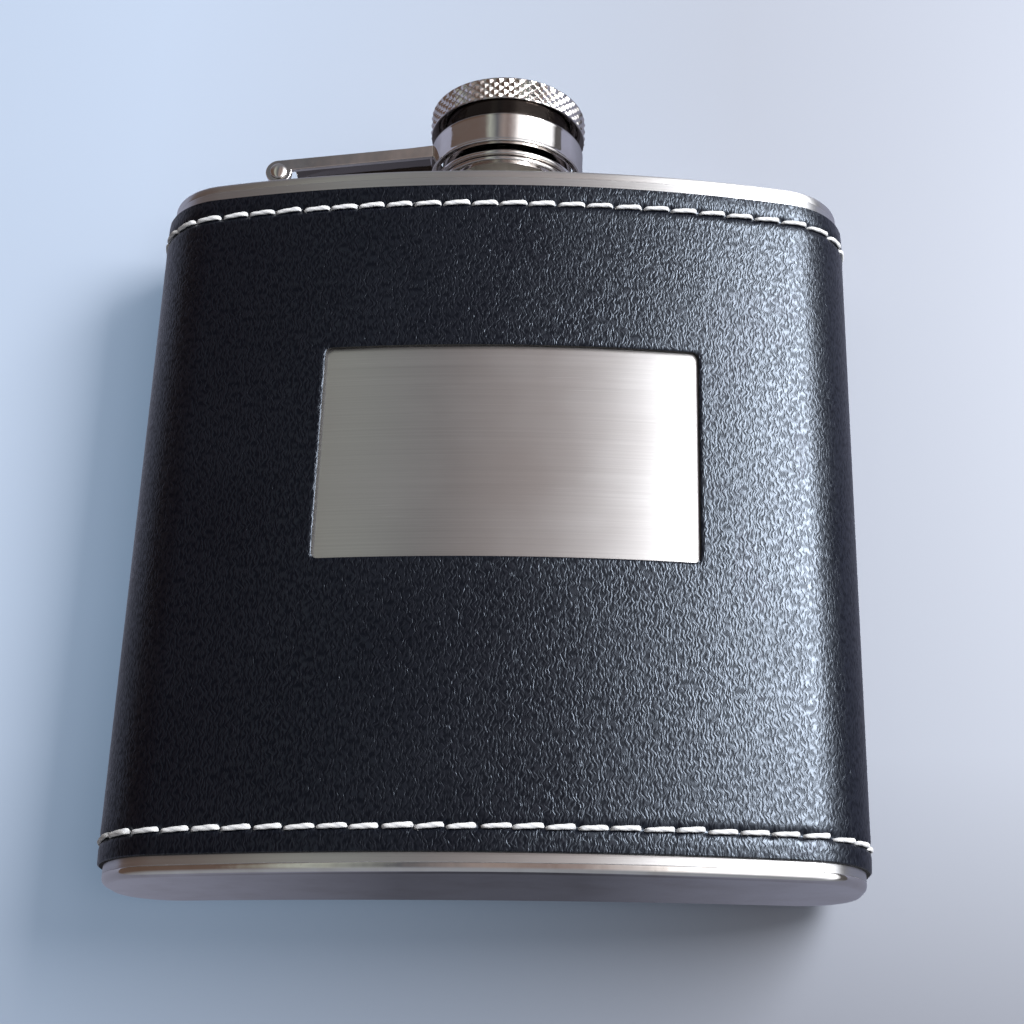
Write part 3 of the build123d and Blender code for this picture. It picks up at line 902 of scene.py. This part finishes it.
class FLASK_OT_stitching(bpy.types.Operator):
    """Builds the two rows of stitches in twisted thread"""

    bl_idname = "flask.make_stitching"
    bl_label = "Stitching"

    def execute(self, context):
        wrap = context.scene.flask_wrap
        table = outline_table(context.scene.flask_body)
        for name, row, seed in zip(("top", "bottom"), row_heights(), (21, 22)):
            mesh = self.thread_row("thread_" + name, row, seed, wrap, table)
            piece_from(mesh, "flask", name + "_stitching", "twisted_thread")
        return {"FINISHED"}

    def thread_row(self, name, row, seed, wrap, table):
        """Each stitch is a closed tube. Its centre line runs along the outline, stands on the groove's
        floor and dives into a needle hole at both ends: the offset falls by the eighth power of the
        place along the stitch. Across it, the thread is two plies, so its radius is 0.88 + 0.12
        |cos(angle - twist)| of an ellipse, and the twist turns with the place along the stitch."""
        rng = np.random.default_rng(seed)
        middles, step = needle_places(table[0][-1], wrap.pitch)
        k, m, n = len(middles), 22, 12
        along_it = np.linspace(-1, 1, m)[None, :, None]
        angle = (np.arange(n) * tau / n)[None, None, :]
        jitter = rng.normal(0, 1, (7, k))[:, :, None, None]
        half = (step / 2 - 0.09 * MM) * (1 + 0.02 * jitter[0])
        run = middles[:, None, None] + along_it * half + 0.06 * MM * jitter[1]
        swell = 1 - 0.34 * np.abs(along_it) ** 6
        wide = wrap.thread_width / 2 * swell * (1 + 0.05 * jitter[2]) * (1 - 0.15 * along_it)
        tall = wrap.thread_height / 2 * swell * (1 + 0.05 * jitter[3])
        plies = np.abs(np.cos(angle - along_it * 3.6 - 2.0 * jitter[4]))
        lobe = 0.88 + 0.12 * plies
        lift = wrap.thickness - wrap.groove + 0.30 * MM
        centre = lift - 0.62 * MM * np.abs(along_it) ** 8 - 0.05 * MM * along_it**2
        slant = row - (0.13 * MM + 0.035 * MM * jitter[5]) * along_it + 0.03 * MM * jitter[6]
        offset = centre + tall * lobe * np.cos(angle)
        points = standing(table, run, offset, slant + wide * lobe * np.sin(angle))
        ends = points.mean(axis=2)[:, [0, -1]]
        quads, index, after = tubes(k, m, n)
        tips = np.broadcast_to(k * m * n + np.arange(k * 2).reshape(k, 2, 1), (k, 2, n))
        first = np.stack([tips[:, 0], after[:, 0], index[:, 0]], axis=-1).reshape(-1, 3)
        last = np.stack([tips[:, 1], index[:, -1], after[:, -1]], axis=-1).reshape(-1, 3)
        uv = np.stack(np.broadcast_arrays(run * 10, angle / tau * 0.02), axis=-1).reshape(-1, 2)
        fibres, fibre_faces = self.loose_fibres(rng, row, wrap, table, middles, step)
        bare = np.zeros((k * 2 + len(fibres), 2))
        # painted shade amount: low in the groove between plies and at each stitch's two tips, high on the
        # loose fibres
        crease = np.concatenate([plies.ravel(), np.zeros(k * 2), np.full(len(fibres), 0.8)])
        return mesh_from(
            name,
            np.concatenate([points.reshape(-1, 3), ends.reshape(-1, 3), fibres]),
            [quads, fibre_faces + (k * m * n + k * 2), first, last],
            np.concatenate([uv, bare]),
            80.0,
            ("crease", crease),
        )

    def loose_fibres(self, rng, row, wrap, table, middles, step):
        """A few hairs that stand out of the thread near its needle holes: thin four-sided tubes along
        an arc that leaves the thread and comes back to the leather."""
        k, m, n = 16, 9, 4
        place = rng.choice(len(middles), k)
        start = (middles[place] + step * 0.45 * rng.choice([-1, 1], k))[:, None, None]
        t = np.linspace(0, 1, m)[None, :, None]
        angle = (np.arange(n) * tau / n)[None, None, :]
        reach = rng.uniform(0.4, 1.1, k)[:, None, None] * MM * rng.choice([-1, 1], k)[:, None, None]
        up = rng.uniform(-0.9, 0.9, k)[:, None, None] * MM
        out = rng.uniform(0.10, 0.28, k)[:, None, None] * MM
        thin = 0.022 * MM * (1 - 0.7 * t)
        offset = wrap.thickness - 0.05 * MM + out * np.sin(pi * t) + thin * np.cos(angle)
        points = standing(table, start + reach * t, offset, row + up * t**1.5 + thin * np.sin(angle))
        quads, index, _ = tubes(k, m, n)
        ends = np.concatenate([index[:, 0][:, ::-1], index[:, -1]])
        return points.reshape(-1, 3), np.concatenate([quads, ends])


def thread_start(cap):
    """Height of the middle of the neck's thread where it begins."""
    return neck_high.z - cap.thread_below_lip - cap.thread_width / 2 - cap.thread_pitch * cap.thread_turns


def ridge_of_thread(angle, z, start, sizes, height):
    """Height of a right-handed screw thread over a round wall: for each turn the ridge's middle is at
    start + pitch x turns climbed, and across it the height is a trapezoid that falls from its flat
    top to nothing at half the root's width. It runs out over the first and last eighth of a turn."""
    total = sizes.thread_turns
    best = np.zeros(np.broadcast(angle, z).shape)
    for lap in range(int(total) + 1):
        turns = angle / tau + lap
        away = np.abs(z - (start + sizes.thread_pitch * turns))
        rise = np.clip((sizes.thread_width / 2 - away) / (sizes.thread_width * 0.3), 0, 1)
        run_out = np.clip(turns / 0.12, 0, 1) * np.clip((total - turns) / 0.12, 0, 1)
        best = np.maximum(best, rise * run_out * (turns <= total))
    return height * best


class FLASK_OT_neck(bpy.types.Operator):
    """Builds the neck with its flange, lip and screw thread"""

    bl_idname = "flask.make_neck"
    bl_label = "Neck"

    def execute(self, context):
        cap = context.scene.flask_cap
        bore, tube, lip = cap.bore, cap.bore + cap.neck_wall, neck_high.z
        seat, flange_top, flange = lid_high.z, lid_high.z + cap.flange, neck_high.x
        corners = [
            (bore, neck_low.z), (tube, neck_low.z), (tube, seat), (flange, seat), (flange, flange_top),
            (tube, flange_top), (tube, lip), (bore, lip),
        ]
        radii = np.array([0, 0, 0, 0, 0.2, 0.25, 0.2, 0.2]) * MM

        def threaded(angle, radius, z):
            wall = (np.abs(radius - tube) < 1e-7) & (z > flange_top)
            ridge = ridge_of_thread(angle, z, thread_start(cap), cap, cap.thread_height)
            return np.where(wall, radius + ridge, radius), z

        mesh = turned("spout", refine(rounded(corners, radii), 0.14 * MM), 180, threaded)
        piece_from(mesh, "flask", "neck", "buffed_steel")
        return {"FINISHED"}


class FLASK_OT_cap(bpy.types.Operator):
    """Builds the cap: knurled head, skirt, liner and gasket"""

    bl_idname = "flask.make_cap"
    bl_label = "Screw cap"

    def execute(self, context):
        cap = context.scene.flask_cap
        self.make_head(cap)
        self.make_skirt(cap)
        self.make_liner(cap)
        self.make_gasket(cap)
        return {"FINISHED"}

    def make_head(self, cap):
        """The knurl is two sets of slanting grooves, one each way round. A groove's depth falls in a
        straight line from its middle to 0.44 of the way to the next, a place takes the deeper of the
        two, and both fade out at the head's rounded edges. The head's top has a shallow turned dish."""
        r, low, high, edge = head_high.x, head_low.z, head_high.z, cap.head_edge
        side = np.stack([np.full(30, r), np.linspace(low + edge, high - edge, 32)[1:-1]], axis=-1)
        profile = np.concatenate([
            level(0, r - edge, low, 20), corner_arc(r, low, edge, 6)[1:], side,
            corner_arc(r, high, edge, 6, upper=True), level(r - edge, 0, high, 40)[1:],
        ])

        def knurled(angle, radius, z):
            turns, climb = angle / tau * cap.diamonds, (z - low) / cap.knurl_rise
            away = (np.abs(place - np.round(place)) for place in (turns + climb, turns - climb))
            depth = np.maximum(*(np.clip(1 - distance / 0.44, 0, 1) for distance in away))
            for distance in (z - low, high - z):
                depth = depth * np.clip((distance - 0.12 * edge) / (0.9 * edge), 0, 1)
            on_side = np.clip((radius - (r - edge)) / edge, 0, 1)
            dish = 0.12 * MM * np.clip((r - 1.6 * MM - radius) / (0.4 * MM), 0, 1)
            rings = np.where(dish > 0, 0.004 * MM * np.sin(radius / (0.22 * MM) * tau), 0)
            return radius - cap.knurl_depth * depth * on_side, np.where(z > high - 1e-7, z - dish + rings, z)

        mesh = turned("knurled_head", profile, cap.diamonds * 10, knurled, poles=True, smooth=30.0)
        piece_from(mesh, "cap", "cap_head", "buffed_steel")

    def make_skirt(self, cap):
        """A straight wall that is rolled outward along its lower edge."""
        low, high, rolled = skirt_low.z, skirt_high.z, cap.rolled_edge
        corners = [
            (cap.skirt_bore, low), (skirt_high.x, low), (skirt_high.x, low + rolled),
            (cap.skirt_radius, low + rolled), (cap.skirt_radius, high), (cap.skirt_bore, high),
        ]
        skirt = rounded(corners, [0.12 * MM, rolled * 0.48, rolled * 0.48, 0.12 * MM, 0, 0], 7)
        mesh = turned("skirt", refine(skirt, 0.8 * MM), 192)
        piece_from(mesh, "cap", "cap_skirt", "buffed_steel")

    def make_liner(self, cap):
        """A thin cup wall with the screw thread on its inside, half a pitch below the neck's."""
        liner = band(cap.liner_bore, liner_high.x, liner_low.z, liner_high.z, [0.1 * MM, 0, 0, 0.1 * MM])

        def threaded(angle, radius, z):
            inner = np.abs(radius - cap.liner_bore) < 1e-7
            ridge = ridge_of_thread(angle, z, thread_start(cap) - cap.thread_pitch / 2, cap, cap.liner_thread)
            return np.where(inner, radius - ridge, radius), z

        mesh = turned("liner", refine(liner, 0.14 * MM), 180, threaded)
        piece_from(mesh, "cap", "cap_liner", "moulded_plastic")

    def make_gasket(self, cap):
        """A disc in whose underside the neck's lip has left a shallow ring, a bell in radius."""
        low, high, r, edge = gasket_low.z, gasket_high.z, gasket_high.x, 0.08 * MM
        rim = corner_arc(r, low, edge, 5)[1:]
        profile = np.concatenate([level(0, r - edge, low, 12), rim, level(r, 0, high, 12)])

        def dented(angle, radius, z):
            mark = 0.05 * MM * bell(radius - cap.bore - cap.neck_wall / 2, 0.35 * MM)
            return radius, np.where(z < low + 0.3 * (high - low), z + mark, z)

        mesh = turned("gasket", profile, 96, dented, poles=True)
        piece_from(mesh, "cap", "cap_gasket", "dull_rubber")


class FLASK_OT_retainer(bpy.types.Operator):
    """Builds the retaining ring, its washer, the arm, the bracket and the pin"""

    bl_idname = "flask.make_retainer"
    bl_label = "Cap retainer"

    def execute(self, context):
        cap = context.scene.flask_cap
        self.make_ring(cap)
        radii = np.array([0.08, 0.2, 0.2, 0.08]) * MM
        washer = band(cap.washer_bore, washer_high.x, washer_low.z, washer_high.z, radii, 7)
        mesh = turned("washer", refine(washer, 0.3 * MM), 192)
        piece_from(mesh, "washer", "retaining_washer", "buffed_steel")
        self.soften("retainer_arm", "arm", cap.sheet_edge)
        self.soften("hinge_bracket", "flask", cap.sheet_edge * 0.7)
        self.make_pin(cap)
        return {"FINISHED"}

    def make_ring(self, cap):
        """A round wall with a bead along its lower edge, a bell in height, whose size wanders round the
        ring, and a smaller one along its upper edge."""
        low, high, edge = ring_low.z, ring_high.z, cap.ring_edge
        ring = band(cap.ring_bore, ring_high.x, low, high, [edge * 0.6, edge, edge, edge * 0.6])

        def burred(angle, radius, z):
            wander = smooth_noise(angle / tau * 40, z * 0 + 0.5, 40, 31) * 0.5 + 0.9
            bead = wander * bell(z - low - 0.16 * MM, 0.16 * MM) + 0.4 * bell(z - high + 0.14 * MM, 0.14 * MM)
            outside = np.clip((radius - cap.ring_bore - 0.4 * MM) / (0.3 * MM), 0, 1)
            return radius + cap.ring_burr * bead * outside, z

        mesh = turned("ring", refine(ring, 0.16 * MM), 240, burred)
        piece_from(mesh, "arm", "retainer_ring", "buffed_steel")

    def soften(self, node, body, width):
        """A copy of a packed sheet-metal solid with its edges rounded: doubles are merged, flat faces
        are joined across their triangles, and a bevel of two steps goes round every edge that turns
        more than 32 degrees."""
        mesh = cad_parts[node].data.copy()
        mesh.name = node + "_softened"
        work = bmesh.new()
        work.from_mesh(mesh)
        bmesh.ops.remove_doubles(work, verts=work.verts, dist=2e-6)
        bmesh.ops.dissolve_limit(
            work, angle_limit=radians(1.0), verts=work.verts, edges=work.edges, use_dissolve_boundaries=False
        )
        bmesh.ops.recalc_face_normals(work, faces=work.faces)
        work.to_mesh(mesh)
        work.free()
        mesh.materials.clear()
        mesh.shade_smooth()
        mesh.set_sharp_from_angle(angle=radians(32))
        piece = piece_from(mesh, body, node, "buffed_steel", node + ".sheet")
        bevel = piece.modifiers.new("rounded edges", "BEVEL")
        bevel.width = width
        bevel.segments = 2
        bevel.limit_method = "ANGLE"
        bevel.angle_limit = radians(32)
        bevel.harden_normals = True

    def make_pin(self, cap):
        """The pin is a profile turned about its own axis, with a domed head at each end: the dome's
        radius falls as the cosine and its height grows as the sine of the same angle."""
        half, r, thick = pin_high.y, cap.pin_radius, cap.pin_head
        head, x, z = (pin_high.x - pin_low.x) / 2, (pin_high.x + pin_low.x) / 2, (pin_high.z + pin_low.z) / 2
        turn = np.linspace(0, pi / 2, 9)
        dome = np.stack([head * np.cos(turn), half - thick * 0.85 * (1 - np.sin(turn))], axis=-1)
        upper = np.concatenate([[(r, 0.0), (r, half - thick), (head, half - thick)], dome])
        profile = np.concatenate([(upper * [1, -1])[::-1][:-1], upper])
        columns = 48
        angle = (np.arange(columns) * tau / columns)[:, None]
        radius, y = profile.T[:, None]
        points = np.stack(
            np.broadcast_arrays(x + radius * np.cos(angle), y, z + radius * np.sin(angle)), axis=-1
        )
        around = np.arange(columns + 1) / columns * tau * r * 10
        mesh = closed_grid("pin", points, around, along(profile), poles=True)
        piece_from(mesh, "flask", "hinge_pin", "buffed_steel")


# The room's brightness by bearing in degrees from straight ahead of the front, positive to the right
ROOM_PEAK = 2.4
ROOM = (
    (-180, 0.52, 0.54, 0.58), (-165, 0.42, 0.43, 0.46), (-140, 0.14, 0.12, 0.11),
    (-112, 0.12, 0.085, 0.07), (-45, 0.13, 0.088, 0.070), (-32, 0.14, 0.10, 0.085),
    (-24, 0.44, 0.47, 0.42), (-13, 0.11, 0.115, 0.13), (-3, 0.34, 0.28, 0.26),
    (3, 0.26, 0.205, 0.19), (7, 0.36, 0.30, 0.29), (13, 0.70, 0.65, 0.65),
    (19, 1.70, 1.68, 1.70), (28, 2.15, 2.17, 2.25), (50, 1.90, 1.95, 2.05),
    (73, 1.75, 1.80, 1.90), (80, 0.10, 0.095, 0.095), (94, 0.10, 0.095, 0.095),
    (102, 0.66, 0.67, 0.72), (150, 0.62, 0.64, 0.68), (180, 0.52, 0.54, 0.58),
)


def flat_panel(name, origin, across, up):
    """A rectangle centred on origin whose sides are the vectors across and up, facing across x up."""
    a, u, o = Vector(across) / 2, Vector(up) / 2, Vector(origin)
    mesh = bpy.data.meshes.new(name)
    mesh.from_pydata([o - a - u, o + a - u, o + a + u, o - a + u], [], [(0, 1, 2, 3)])
    panel = bpy.data.objects.new(name, mesh)
    bpy.context.scene.collection.objects.link(panel)
    return panel


def soft_light(name, place, target, width, tall, watts, tint=(1.0, 1.0, 1.0)):
    """A rectangular light at a place, facing a target."""
    data = bpy.data.lights.new(name, "AREA")
    data.shape = "RECTANGLE"
    data.size, data.size_y = width, tall
    data.energy = watts
    data.color = tint
    lamp = bpy.data.objects.new(name, data)
    bpy.context.scene.collection.objects.link(lamp)
    away = Vector(place) - Vector(target)
    lamp.rotation_euler = away.to_track_quat("Z", "Y").to_euler()
    lamp.location = place


class FLASK_OT_stage(bpy.types.Operator):
    """Builds the camera, the pale floor, the table behind the flask, the lights and the background"""

    bl_idname = "flask.make_stage"
    bl_label = "Stage"

    def execute(self, context):
        scene, stage = context.scene, context.scene.flask_stage
        scene.view_settings.view_transform = "Standard"
        self.camera(scene, stage)
        self.table(stage)
        self.floor()
        self.background(scene, stage)
        soft_light("key", (0.345, -0.37, 0.225), (0.0, 0.0, 0.055), 0.21, 0.33, stage.key, (0.94, 0.965, 1.0))
        soft_light("back fill", (-0.38, 0.40, 0.22), (0.0, 0.0, 0.05), 0.40, 0.40, stage.fill)
        return {"FINISHED"}

    def camera(self, scene, stage):
        """The camera stands in front, just below the base, and looks up a little."""
        data = bpy.data.cameras.new("view")
        data.sensor_width = 36.0
        data.lens = stage.focal
        data.shift_x = stage.shift
        data.clip_start = 0.005
        data.clip_end = 20.0
        view = bpy.data.objects.new("view", data)
        right = Vector((0.99996, 0.00085, 0.00887)).normalized()
        forward = Vector((-0.00402, 0.93157, 0.36355)).normalized()
        up = right.cross(forward)
        right = forward.cross(up)
        turn = Matrix((right, up, -forward)).transposed().to_4x4()
        view.matrix_world = Matrix.Translation((0.014002, -0.20526, -0.031603)) @ turn
        scene.collection.objects.link(view)
        scene.camera = view

    def table(self, stage):
        """The table shows its front to the camera and to reflections, and lets every other ray pass. Below
        the flask its colour is painted dark, a painted shadow, and a painted glow, strongest at the flask's
        left, fills the flask's shadow there. In reflections it is a painted glow, darker low down and lighter
        beside the flask."""
        back = max(top_row_high.y, bottom_row_high.y, wrap_high.y) + stage.table_gap
        panel = flat_panel("table", (0.0, back, 0.08), (1.0, 0, 0), (0, 0, 1.0))
        g = Graph(bpy.data.materials.new("pale_table"))
        rays = g.add("ShaderNodeLightPath").outputs
        front = g.math("SUBTRACT", 1.0, g.add("ShaderNodeNewGeometry").outputs["Backfacing"])
        shade = g.noise(g.own(3.0), 1.0)
        tone = g.mix(g.span(shade, 0.3, 0.7), stage.table, tinted(stage.table, 0.96, 0.965, 0.97))
        aside, _, height = g.axes()
        # painted fill light: a glow strongest at the flask's left, over its shadow, and weaker low down
        own = g.times(g.span(height, -0.10, 0.04, 0.45, 1.0), g.span(aside, -0.055, 0.035, 0.32, 0.01))
        # painted shadow: the colour turns dark below the flask
        seen = g.add(
            "ShaderNodeBsdfPrincipled",
            Base_Color=g.mix(g.span(height, -0.06, 0.02), (0.066, 0.068, 0.08), tone),
            Roughness=0.4,
            Specular_IOR_Level=0.25,
            Emission_Color=(0.44, 0.68, 1.0, 1.0),
            Emission_Strength=own,
        )
        # painted reflection: reflections see a glow, darker low down in the flask's shadow and lighter beside
        # the flask
        beside = g.span(g.math("ABSOLUTE", aside), 0.012, 0.048, 0.0, 0.46)
        painted_reflection_strength = g.math("ADD", g.span(height, -0.02, 0.10, 0.16, 0.62), beside)
        glow = g.add("ShaderNodeEmission", Color=(0.33, 0.345, 0.45, 1.0), Strength=painted_reflection_strength)
        clear = g.add("ShaderNodeBsdfTransparent")
        mirror = g.either(g.times(rays["Is Glossy Ray"], front), clear, glow)
        panel.data.materials.append(g.end(g.either(g.times(rays["Is Camera Ray"], front), mirror, seen)))

    def floor(self):
        """The floor shows its upper side to the camera alone. It takes light and shade near the flask, and
        has an even glow of its own further out."""
        panel = flat_panel("floor", (0.0, 0.0, -0.00005), (3.0, 0, 0), (0, 3.0, 0))
        g = Graph(bpy.data.materials.new("pale_floor"))
        below = g.add("ShaderNodeNewGeometry").outputs["Backfacing"]
        place = g.add("ShaderNodeTexCoord").outputs["Object"]
        away = g.add("ShaderNodeVectorMath", {"operation": "LENGTH"}, _0=place).outputs["Value"]
        seen = g.add(
            "ShaderNodeBsdfPrincipled",
            Base_Color=g.mix(g.span(away, 0.12, 0.36), (0.27, 0.28, 0.30), (0.015, 0.0155, 0.0165)),
            Roughness=0.9,
            Specular_IOR_Level=0.1,
            Emission_Color=(0.9, 0.94, 1.0, 1.0),
            Emission_Strength=g.span(away, 0.12, 0.36, 0.26, 0.56),
        )
        above = g.times(g.add("ShaderNodeLightPath").outputs["Is Camera Ray"], g.math("SUBTRACT", 1.0, below))
        panel.data.materials.append(g.end(g.either(above, g.add("ShaderNodeBsdfTransparent"), seen)))

    def background(self, scene, stage):
        """An even pale background for the camera. For light and reflections the studio is bright at the
        front right, dim and warm at the left and pale behind: its colour is read from a list by the
        bearing round Z, and fades to the ceiling's and the floor's colours far up and down."""
        scene.world = bpy.data.worlds.new("studio")
        g = Graph(scene.world, "ShaderNodeOutputWorld")
        x, y, z = g.axes("Generated")
        bearing = g.math("ARCTAN2", x, g.times(y, -1.0))
        ramp = g.add("ShaderNodeValToRGB", _0=g.span(bearing, -pi, pi))
        stops = ramp.color_ramp.elements
        while len(stops) > 1:
            stops.remove(stops[0])
        for number, (degrees, *tone) in enumerate(ROOM):
            stop = stops[0] if number == 0 else stops.new((degrees + 180) / 360)
            stop.position = (degrees + 180) / 360
            stop.color = (*(value / ROOM_PEAK for value in tone), 1.0)
        ceiling, ground = (
            tuple(value / ROOM_PEAK for value in tone) for tone in ((0.20, 0.205, 0.23), (0.30, 0.32, 0.36))
        )
        room = g.mix(g.span(z, 0.50, 0.86), ramp.outputs[0], ceiling)
        room = g.mix(g.span(z, -0.25, -0.75), room, ground)
        lit = g.add("ShaderNodeBackground", _0=room, _1=ROOM_PEAK)
        seen = g.add("ShaderNodeBackground", _0=(*stage.backdrop, 1.0), _1=1.0)
        g.end(g.either(g.add("ShaderNodeLightPath").outputs["Is Camera Ray"], lit, seen))


STEPS = (
    FLASK_OT_body,
    FLASK_OT_wrap,
    FLASK_OT_stitching,
    FLASK_OT_neck,
    FLASK_OT_cap,
    FLASK_OT_retainer,
    FLASK_OT_stage,
)
GROUPS = {
    "flask_body": FlaskBodySizes,
    "flask_wrap": FlaskWrapSizes,
    "flask_cap": FlaskCapSizes,
    "flask_finishes": FlaskFinishes,
    "flask_stage": FlaskStageSizes,
}


class FLASK_PT_panel(bpy.types.Panel):
    """Lists the flask's pieces and its sizes"""

    bl_idname = "FLASK_PT_panel"
    bl_label = "Hip flask"
    bl_space_type = "VIEW_3D"
    bl_region_type = "UI"
    bl_category = "Hip flask"

    def draw(self, context):
        column = self.layout.column(align=True)
        for step in STEPS:
            column.operator(step.bl_idname)
        for group in GROUPS:
            box = self.layout.box()
            values = getattr(context.scene, group)
            for name in values.__annotations__:
                box.prop(values, name)


def register():
    for name, group in GROUPS.items():
        bpy.utils.register_class(group)
        setattr(bpy.types.Scene, name, bpy.props.PointerProperty(type=group))
    for step in (*STEPS, FLASK_PT_panel):
        bpy.utils.register_class(step)


def unregister():
    for step in (FLASK_PT_panel, *reversed(STEPS)):
        bpy.utils.unregister_class(step)
    for name, group in reversed(GROUPS.items()):
        delattr(bpy.types.Scene, name)
        bpy.utils.unregister_class(group)


def main():
    """Registers the classes and builds every piece and the stage."""
    register()
    for step in STEPS:
        group, name = step.bl_idname.split(".")
        getattr(getattr(bpy.ops, group), name)()


if __name__ == "__main__":
    main()
